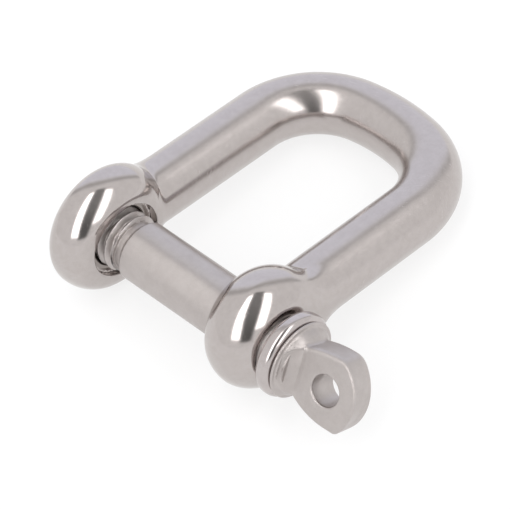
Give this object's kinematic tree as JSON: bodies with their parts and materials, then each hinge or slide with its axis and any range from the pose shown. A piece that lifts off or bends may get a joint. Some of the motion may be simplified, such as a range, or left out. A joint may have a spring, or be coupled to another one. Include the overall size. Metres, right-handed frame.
{
  "type": "screw-pin D shackle",
  "caption": "Straight-legged D shackle: a round bar bent into a U with bulbous eyes, closed by a screw pin that has a collar and a flat tab with a cross hole.",
  "frame": {"origin": "on the pin's axis, midway between the two ears", "axes": "+X along the pin towards its eyed head, +Y along the line of load from the pin to the crown, +Z square to the plane of the bow"},
  "size_m": [0.0482, 0.0498, 0.0168],
  "materials": {
    "forged_steel": "polished",
    "pin_steel": "satin"
  },
  "bodies": {
    "bow": {"shackle_body": "forged_steel"},
    "collar": {"pin_collar": "pin_steel"},
    "pin": {"screw_pin": "pin_steel"}
  },
  "joints": [
    {"name": "pin_travel", "type": "slide", "parent": "bow", "child": "collar", "axis": [1, 0, 0], "range_m": [-0.0008, 0.0263]},
    {"name": "pin_turn", "type": "hinge", "parent": "collar", "child": "pin", "pos_m": [0, 0, 0], "axis": [1, 0, 0], "range_deg": [-216, 7560]}
  ],
  "couplings": [
    {"joint": "pin_travel", "follows": "pin_turn", "m_per_rad": 0.00019894}
  ]
}
